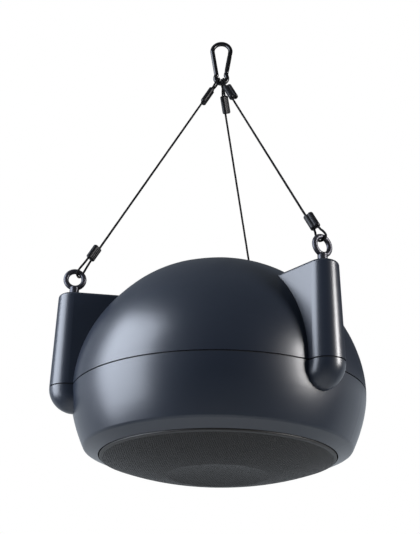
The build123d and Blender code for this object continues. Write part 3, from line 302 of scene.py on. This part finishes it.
def place_piece(name, mesh, material, body="enclosure"):
    # A new piece of a body with its finish
    mesh.materials.clear()
    mesh.materials.append(material)
    piece = bpy.data.objects.new(name, mesh)
    scene.collection.objects.link(piece)
    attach(piece, body)
    return piece


# Steel wire, blackened and oiled: nearly black and dull
rope_steel = finish(
    "blackened_wire_rope", "050506", "09090A", 0.6, grain=1.2, spread=0.08, mirror=0.08
)
for side in LUG_ANGLES:
    middle = curve_points("route", [rope_route(side)], 3)
    points = evenly([vertex.co.copy() for vertex in middle.vertices], ROPE_STEP / 1000)
    bpy.data.meshes.remove(middle)
    strands = curve_points(f"rope_strands_{side}", laid_strands(points), 0, STRAND_RADIUS / 1000)
    strands.shade_smooth()
    rope = place_piece(f"rope_strands_{side}", strands, rope_steel)
    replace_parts(rope, f"wire_rope_{side}")

# Snap hook
# A bent bar with a sprung gate on a rivet, tumbled smooth and dipped in gloss black enamel,
# which pools evenly and leaves a sharp highlight along the bar.


def dress(material, *names):
    # A finish on solids that keep their shape
    for name in names:
        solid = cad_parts[name]
        solid.data.materials.clear()
        solid.data.materials.append(material)


hook_enamel = finish(
    "gloss_black_enamel", "060607", "0A0A0C", 0.2, grain=6.0, spread=0.03, relief=0.002, mirror=0.3
)
dress(hook_enamel, "snap_hook_body", "snap_hook_gate", "snap_hook_rivet")

# Ferrules
# Drawn sleeves pressed on the two legs of each rope end, with tapered mouths and a groove along
# each side. They are blackened, which leaves a faint satin shine.
sleeve_black = finish(
    "blackened_sleeve", "070708", "0C0C0E", 0.42, grain=3.0, relief=0.004, mirror=0.16
)
for side in LUG_ANGLES:
    dress(sleeve_black, f"upper_ferrule_{side}", f"lower_ferrule_{side}")

# Eyebolts and inserts
# Forged rings with a collar, zinc plated and passivated black, so smoother and brighter than the
# ropes. They screw into inserts turned from brass in the tops of the lugs.
eye_zinc = finish(
    "black_passivated_zinc", "26262B", "303036", 0.34, 0.6, grain=4.0, spread=0.04, relief=0.003
)
# Turned brass: yellow, with a metal shine
brass = finish("turned_brass", "A07A35", "B58C42", 0.3, 1.0, grain=0.8)
for side in LUG_ANGLES:
    dress(eye_zinc, f"eyebolt_{side}")
    dress(brass, f"lug_insert_{side}")

# Shells
# Two injection-moulded ABS shells in a dark slate blue, satin from the mould's finish, which gives
# broad soft highlights. A black rubber cord seals the joint between them.
shell_abs = finish(
    "satin_moulded_abs", "0F141D", "131923", 0.33, grain=0.9, spread=0.02, relief=0.006
)
# Rubber: black and dull
seal_rubber = finish("black_nitrile_rubber", "08080A", "101012", 0.75, grain=1.5)
dress(shell_abs, "upper_shell", "lower_shell")
dress(seal_rubber, "seam_gasket", "surround", "woofer_gasket")

# Grille
# A steel sheet with staggered punched holes and a plain rim, pressed to a dome from the rim in and a
# shallow dish in the middle. It is powder coated black, so matt with a fine orange-peel grain.
GRILLE_RADIUS = 134
RIM_DEPTH = 71.5
RIM_STEP = 1.4
SHEET = 1.2
MIDDLE_RADIUS = 98
MIDDLE_FALL = 12.5
CREST_RADIUS = 58
CREST_FALL = 19.7
DISH_RISE = 3.8
BAFFLE_DEPTH = 62
HOLE_PITCH = 2.1
HOLE_RADIUS = 0.68
HOLE_DEPTH = 0.8
PLAIN_RIM = 1.4
RIM_LAP = 0.02
RIM_EDGE = 0.4
RIM_EDGE_INSET = 0.1
RIM_STEPS = 160


def grille_height(radius):
    # Height of the sheet's lower face above the hang point, in millimetres
    edge = -RIM_DEPTH - RIM_STEP - HANG_HEIGHT
    crest_fall = CREST_FALL - RIM_STEP
    if radius < CREST_RADIUS:
        return edge - crest_fall + DISH_RISE * (1 - (radius / CREST_RADIUS) ** 2)
    # A parabola through the rim, the middle of the dome and the crest
    out = GRILLE_RADIUS - radius
    middle_out = GRILLE_RADIUS - MIDDLE_RADIUS
    crest_out = GRILLE_RADIUS - CREST_RADIUS
    middle_slope = (MIDDLE_FALL - RIM_STEP) / middle_out
    bend = (crest_fall / crest_out - middle_slope) / (crest_out - middle_out)
    return edge - out * (middle_slope + bend * (out - middle_out))


def punched_cells():
    # Two staggered hexagonal cells, each with a hole and the hole's wall
    form = bmesh.new()
    row = HOLE_PITCH * math.sqrt(3) / 2
    for x, y in ((0, 0), (HOLE_PITCH / 2, row)):
        spot = Matrix.Translation((x, y, 0)) @ Matrix.Rotation(math.radians(30), 4, "Z")
        known = set(form.faces)
        bmesh.ops.create_circle(
            form, cap_ends=True, segments=6, radius=HOLE_PITCH / math.sqrt(3), matrix=spot
        )
        hole = [face for face in form.faces if face not in known]
        web = HOLE_PITCH / 2 - HOLE_RADIUS * math.cos(math.pi / 6)
        bmesh.ops.inset_region(
            form, faces=hole, thickness=web, use_boundary=True, use_even_offset=True
        )
        walls = bmesh.ops.extrude_face_region(form, geom=hole)["geom"]
        ends = [item for item in walls if isinstance(item, bmesh.types.BMVert)]
        bmesh.ops.translate(form, verts=ends, vec=(0, 0, HOLE_DEPTH))
        bottoms = [item for item in walls if isinstance(item, bmesh.types.BMFace)]
        bmesh.ops.delete(form, geom=bottoms + hole, context="FACES_ONLY")
    mesh = bpy.data.meshes.new("punched_cells")
    form.to_mesh(mesh)
    form.free()
    return mesh


def punched_sheet():
    # The cells repeated over the whole grille, flat
    cells = bpy.data.objects.new("punched_sheet", punched_cells())
    scene.collection.objects.link(cells)
    columns = 2 * round(GRILLE_RADIUS / HOLE_PITCH) + 2
    rows = round(2 * GRILLE_RADIUS / (HOLE_PITCH * math.sqrt(3))) + 2
    across = (HOLE_PITCH, 0, 0)
    along = (0, HOLE_PITCH * math.sqrt(3), 0)
    for count, offset in ((columns, across), (rows, along)):
        repeat = cells.modifiers.new("repeat", "ARRAY")
        repeat.count = count
        repeat.use_relative_offset = False
        repeat.use_constant_offset = True
        repeat.constant_offset_displace = offset
    repeated = cells.evaluated_get(bpy.context.evaluated_depsgraph_get())
    sheet = bpy.data.meshes.new_from_object(repeated)
    bpy.data.objects.remove(cells)
    form = bmesh.new()
    form.from_mesh(sheet)
    bpy.data.meshes.remove(sheet)
    shift = (-HOLE_PITCH * columns / 2, -HOLE_PITCH * math.sqrt(3) * rows / 2, 0)
    bmesh.ops.translate(form, verts=form.verts, vec=shift)
    bmesh.ops.remove_doubles(form, verts=form.verts, dist=HOLE_PITCH / 50)
    return form


def pressed(name, flat, inner, outer):
    # The part of the flat sheet between two radii, pressed to the grille's form
    form = flat.copy()
    away = [
        face for face in form.faces if not inner <= face.calc_center_median().xy.length < outer
    ]
    bmesh.ops.delete(form, geom=away, context="FACES")
    for vertex in form.verts:
        vertex.co.z += grille_height(vertex.co.xy.length)
    bmesh.ops.scale(form, verts=form.verts, vec=(0.001, 0.001, 0.001))
    mesh = bpy.data.meshes.new(name)
    form.to_mesh(mesh)
    form.free()
    return mesh


powder_coat = finish(
    "powder_coated_steel",
    "1A1918",
    "1E1D1C",
    0.5,
    grain=2.0,
    patch=200,
    spread=0.04,
    relief=0.002,
    mirror=0.3,
)
flat_sheet = punched_sheet()
plain_from = GRILLE_RADIUS - PLAIN_RIM
dome_parting = 0.75 * GRILLE_RADIUS
for name, inner, outer in (
    ("grille_dish", 0, CREST_RADIUS),
    ("grille_dome_inner", CREST_RADIUS, dome_parting),
    ("grille_dome_outer", dome_parting, plain_from),
):
    punched = place_piece(name, pressed(name, flat_sheet, inner, outer), powder_coat)
    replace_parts(punched, "grille")
flat_sheet.free()

# The plain rim, rolled over an edge and up to the baffle
rim_form = bmesh.new()
rim_inner = plain_from - HOLE_PITCH
outline = [
    rim_form.verts.new((radius / 1000, 0, height / 1000))
    for radius, height in (
        (rim_inner, grille_height(rim_inner) - RIM_LAP),
        (GRILLE_RADIUS - RIM_EDGE, grille_height(GRILLE_RADIUS - RIM_EDGE) - RIM_LAP),
        (GRILLE_RADIUS - RIM_EDGE_INSET, grille_height(GRILLE_RADIUS) + RIM_EDGE_INSET),
        (GRILLE_RADIUS, grille_height(GRILLE_RADIUS) + RIM_EDGE),
        (GRILLE_RADIUS, -BAFFLE_DEPTH - HANG_HEIGHT),
        (GRILLE_RADIUS - SHEET, -BAFFLE_DEPTH - HANG_HEIGHT),
        (GRILLE_RADIUS - SHEET, grille_height(GRILLE_RADIUS) + 1.5 * SHEET),
        (rim_inner, grille_height(rim_inner) + SHEET),
    )
]
edges = [rim_form.edges.new(pair) for pair in zip(outline, outline[1:] + outline[:1])]
bmesh.ops.spin(
    rim_form,
    geom=outline + edges,
    cent=(0, 0, 0),
    axis=(0, 0, 1),
    angle=2 * math.pi,
    steps=RIM_STEPS,
    use_merge=True,
)
bmesh.ops.recalc_face_normals(rim_form, faces=rim_form.faces)
rim_mesh = bpy.data.meshes.new("grille_rim")
rim_form.to_mesh(rim_mesh)
rim_form.free()
rim_mesh.shade_smooth()
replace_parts(place_piece("grille_rim", rim_mesh, powder_coat), "grille")

# Behind the grille
# A black knitted cloth against dust, over a baffle cut from wood-fibre board and stained dark, held
# by plated screws that go into the lower shell. Three polystyrene tubes are its ports.

# Knitted polyester: black, with no shine at all
cloth = finish("knitted_black_cloth", "050505", "0A0A0A", 0.95, grain=0.7, relief=0.2)
# Fibre board: dull, with coarse brown fibres through the stain
stained_board = finish(
    "stained_fibre_board", "1A1512", "2A221C", 0.7, grain=4, patch=30, spread=0.1, relief=0.1
)
# Bright zinc: silvery, with a metal shine
zinc_plate = finish("bright_zinc_plate", "8C8E94", "A6A8AE", 0.3, 1.0, grain=1.5)
# Polystyrene from a smooth mould: black, with a soft shine
port_plastic = finish("moulded_polystyrene", "0E0E10", "151517", 0.42, grain=0.8)
dress(cloth, "grille_cloth", "spider")
dress(stained_board, "baffle")
dress(zinc_plate, "baffle_screws", "driver_screws", "panel_screws")
dress(port_plastic, *(f"port_tube_{side}" for side in LUG_ANGLES))

# Woofer and tweeter
# A pressed steel basket in satin paint, with a coated paper cone and a sintered ferrite magnet
# between two plated plates, and a coated silk dome in a moulded housing at its middle.

# Sprayed paint: an even satin black
basket_paint = finish("satin_black_paint", "101012", "17171A", 0.4, grain=1.5)
# Pulp under a thin coat: matt, with the fibres' fine relief
cone_paper = finish("coated_paper_pulp", "0E0E10", "161618", 0.8, grain=2.5, patch=20, relief=0.1)
# Pressed and fired powder: dark grey and dull, with fine pits
ferrite = finish("sintered_ferrite", "1C1C1F", "28282C", 0.7, 0.2, grain=2.5, relief=0.08)
# Lacquered copper: red-brown, with a metal shine
winding = finish("enamelled_copper_wire", "7A3516", "9C4A20", 0.35, 0.9, grain=0.6, spread=0.1)
# ABS from a fine-grained mould: black, with a soft shine
moulding = finish("moulded_black_abs", "0E0E10", "151517", 0.42, grain=0.8)
# Silk under a tacky coat: nearly black, with a faint sheen
dome_silk = finish("coated_silk", "0B0B0D", "121214", 0.55, grain=0.8, relief=0.04)
dress(basket_paint, "woofer_basket")
dress(cone_paper, "woofer_cone", "dust_cap")
dress(ferrite, "woofer_magnet")
dress(zinc_plate, "woofer_top_plate", "woofer_back_plate")
dress(winding, "voice_coil", "transformer_coil", "crossover_inductor")
dress(moulding, "tweeter_housing", "tweeter_bridge", "tap_switch", "terminal_block")
dress(dome_silk, "tweeter_dome")

# Input panel
# A painted steel plate in the crown's well with a nylon cable gland and a nylon knob for the power
# tap. The taps' numbers are printed round the knob, and a line on its grip points at one.

# Baked paint: an even dark grey, half matt
panel_paint = finish("painted_steel_panel", "17181B", "1D1E22", 0.45, grain=1.5)
# Nylon: black, with a waxy half shine
gland_nylon = finish("black_nylon", "0D0D0F", "141416", 0.5, grain=0.8)
dress(panel_paint, "input_panel")
dress(gland_nylon, "cable_gland", "gland_nut", "tap_knob")

TAP_STOPS = 6
TAP_STEP = 30
DIAL_RADIUS = 13
NUMBER_TALL = 3.6
INK_THICK = 0.06
LINE_WIDE = 0.8
LINE_INSET = 1.6


def printed_numbers(axis_place, face):
    # The tap numbers round the knob's axis, each upright, from the stop where the line rests
    form = bmesh.new()
    for stop in range(TAP_STOPS):
        text = bpy.data.curves.new("tap_number", "FONT")
        text.body = str(stop + 1)
        text.align_x = "CENTER"
        text.align_y = "CENTER"
        text.size = NUMBER_TALL / 1000
        text.extrude = INK_THICK / 2000
        holder = bpy.data.objects.new("tap_number", text)
        mesh = bpy.data.meshes.new_from_object(holder)
        bpy.data.objects.remove(holder)
        turn = math.radians(TAP_STEP * stop - 90)
        out = Vector((math.cos(turn), math.sin(turn), 0)) * DIAL_RADIUS / 1000
        mesh.transform(Matrix.Translation(Vector((*axis_place, face)) + out))
        form.from_mesh(mesh)
        bpy.data.meshes.remove(mesh)
    mesh = bpy.data.meshes.new("tap_numbers")
    form.to_mesh(mesh)
    form.free()
    return mesh


# White screen print: chalky, a little uneven
white_ink = finish("white_screen_print", "B4B4B2", "C6C6C4", 0.7, grain=0.6, patch=6)
knob_low, knob_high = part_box("tap_knob")
knob_place = ((knob_low + knob_high) / 2).xy
panel_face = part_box("input_panel")[1].z
place_piece("tap_numbers", printed_numbers(knob_place, panel_face), white_ink)
line_long = (knob_high.y - knob_low.y) / 2 - 2 * LINE_INSET / 1000
line_form = bmesh.new()
bmesh.ops.create_cube(line_form, size=1)
line_sides = (LINE_WIDE / 1000, line_long, INK_THICK / 1000)
bmesh.ops.scale(line_form, vec=line_sides, verts=line_form.verts)
line_middle = Vector((*knob_place, knob_high.z)) - Vector((0, LINE_INSET / 1000 + line_long / 2, 0))
bmesh.ops.translate(line_form, vec=line_middle, verts=line_form.verts)
line_mesh = bpy.data.meshes.new("tap_pointer")
line_form.to_mesh(line_mesh)
line_form.free()
place_piece("tap_pointer", line_mesh, white_ink, "knob")

# Line transformer and crossover
# Stacked silicon steel and a strap, a green glass-fibre board on posts with film capacitors,
# an air-cored inductor and a ceramic resistor, and two sleeved leads.

# Lacquer over copper and glass fibre: a smooth deep green
solder_mask = finish("green_solder_mask", "0B3D1C", "10502A", 0.35, grain=5)
# Polyester film: smooth yellow, with a clear shine
film_wrap = finish("yellow_film_wrap", "8C7A1E", "A8932A", 0.3, grain=5)
# Fired ceramic: chalky white
ceramic = finish("white_ceramic", "B8B4A8", "CBC7BC", 0.7, grain=3, relief=0.05)
# Soft PVC: black and rubbery
lead_sleeve = finish("black_pvc_sleeve", "0C0C0D", "141415", 0.6, grain=1.5)
dress(zinc_plate, "transformer_core", "transformer_bracket")
dress(solder_mask, "crossover_board", "board_posts")
dress(film_wrap, "crossover_capacitors")
dress(ceramic, "crossover_resistor")
dress(lead_sleeve, "input_lead", "transformer_lead")

# Floor
# A plain pale floor, matt and slightly uneven. It lies as far down as under a ceiling of ordinary
# height.
FLOOR_HEIGHT = -2.5
FLOOR_HALF = 9

floor_form = bmesh.new()
bmesh.ops.create_grid(floor_form, x_segments=8, y_segments=8, size=FLOOR_HALF)
floor_mesh = bpy.data.meshes.new("floor")
floor_form.to_mesh(floor_mesh)
floor_form.free()
floor = bpy.data.objects.new("floor", floor_mesh)
floor.location = (0, 0, FLOOR_HEIGHT)
scene.collection.objects.link(floor)
floor_paint = finish("pale_floor", "E8E8E6", "EEEEEC", 0.8, grain=40, patch=900, spread=0.02)
floor_mesh.materials.append(floor_paint)

# Backdrop
# A white lit wall, curved round behind the object from the floor to above its middle. The sides of
# the enclosure mirror it, and the camera sees the white beyond it.
WALL_RADIUS = 3.2
WALL_TALL = 2.9
WALL_MIDDLE = math.radians(109.93)
WALL_HALF_TURN = math.radians(75)
WALL_STEPS = 48
WALL_GLOW = 0.8
WALL_TINT = (0.85, 0.92, 1, 1)

wall_form = bmesh.new()
wall_start = WALL_MIDDLE - WALL_HALF_TURN
corner = wall_form.verts.new(
    (WALL_RADIUS * math.cos(wall_start), WALL_RADIUS * math.sin(wall_start), FLOOR_HEIGHT)
)
bmesh.ops.spin(
    wall_form,
    geom=[corner],
    cent=(0, 0, 0),
    axis=(0, 0, 1),
    angle=2 * WALL_HALF_TURN,
    steps=WALL_STEPS,
    use_merge=False,
)
risen = bmesh.ops.extrude_edge_only(wall_form, edges=wall_form.edges[:])["geom"]
wall_top = [item for item in risen if isinstance(item, bmesh.types.BMVert)]
bmesh.ops.translate(wall_form, verts=wall_top, vec=(0, 0, WALL_TALL))
wall_mesh = bpy.data.meshes.new("backdrop")
wall_form.to_mesh(wall_mesh)
wall_form.free()
wall = bpy.data.objects.new("backdrop", wall_mesh)
scene.collection.objects.link(wall)
wall.visible_camera = False
lit_white = bpy.data.materials.new("lit_white_wall")
lit_white.use_nodes = True
glow = add_node(lit_white, "ShaderNodeEmission", {"Color": WALL_TINT, "Strength": WALL_GLOW})
wall_output = lit_white.node_tree.nodes["Material Output"]
lit_white.node_tree.links.new(glow.outputs[0], wall_output.inputs["Surface"])
wall_mesh.materials.append(lit_white)

# Light
# A cool soft box on the left of the camera and a narrower neutral one on its right. A weak one above
# and a fill from below brighten matt faces and aren't mirrored.
BODY_CENTRE = Vector((0, 0, -0.5))
CAMERA_SIDE = -70.07
COOL = (0.8, 0.87, 1.0)
NEUTRAL = (1.0, 0.98, 0.98)


def soft_box(name, bearing, height, distance, width, tall, power, colour, mirrored=True):
    # The bearing is in degrees from the camera's side, positive to its right, and the height is in
    # degrees over the body's middle
    turn = math.radians(CAMERA_SIDE + bearing)
    rise = math.radians(height)
    out = Vector((math.cos(turn) * math.cos(rise), math.sin(turn) * math.cos(rise), math.sin(rise)))
    data = bpy.data.lights.new(name, "AREA")
    data.shape = "RECTANGLE"
    data.size = width
    data.size_y = tall
    data.energy = power
    data.color = colour
    lamp = bpy.data.objects.new(name, data)
    lamp.location = BODY_CENTRE + out * distance
    lamp.rotation_mode = "QUATERNION"
    lamp.rotation_quaternion = out.to_track_quat("Z", "Y")
    lamp.visible_glossy = mirrored
    scene.collection.objects.link(lamp)


soft_box("left_box", -74, 15, 1.5, 1.2, 1.9, 84, COOL)
soft_box("right_box", 68, 12, 1.5, 0.36, 0.85, 40, NEUTRAL)
soft_box("top_box", -60, 70, 1.8, 1.2, 1.2, 12, COOL, mirrored=False)
soft_box("low_fill", -10, -50, 1.6, 1.0, 1.0, 8, NEUTRAL, mirrored=False)

# Studio
# The room is white where the camera looks past the object, and dim in what the object mirrors,
# brightest overhead and to the left.
BRIGHT_SIDE = (-0.7, -0.26, 0.66)
ROOM_TINT = (0.85, 0.93, 1, 1)
LEAST_GLOW = 0.04
MOST_GLOW = 0.3

world = bpy.data.worlds.new("studio")
scene.world = world
world.use_nodes = True
tree = world.node_tree
backdrop = tree.nodes["Background"]
backdrop.inputs["Color"].default_value = (1, 1, 1, 1)
backdrop.inputs["Strength"].default_value = 1.0
dim = tree.nodes.new("ShaderNodeBackground")
dim.inputs["Color"].default_value = ROOM_TINT
direction = tree.nodes.new("ShaderNodeTexCoord")
share = tree.nodes.new("ShaderNodeVectorMath")
share.operation = "DOT_PRODUCT"
share.inputs[1].default_value = BRIGHT_SIDE
overhead = tree.nodes.new("ShaderNodeMapRange")
overhead.inputs["From Min"].default_value = -0.1
overhead.inputs["From Max"].default_value = 0.9
overhead.inputs["To Min"].default_value = LEAST_GLOW
overhead.inputs["To Max"].default_value = MOST_GLOW
tree.links.new(direction.outputs["Generated"], share.inputs[0])
tree.links.new(share.outputs["Value"], overhead.inputs["Value"])
tree.links.new(overhead.outputs[0], dim.inputs["Strength"])
choice = tree.nodes.new("ShaderNodeMixShader")
ray = tree.nodes.new("ShaderNodeLightPath")
tree.links.new(ray.outputs["Is Camera Ray"], choice.inputs[0])
tree.links.new(dim.outputs[0], choice.inputs[1])
tree.links.new(backdrop.outputs[0], choice.inputs[2])
tree.links.new(choice.outputs[0], tree.nodes["World Output"].inputs["Surface"])
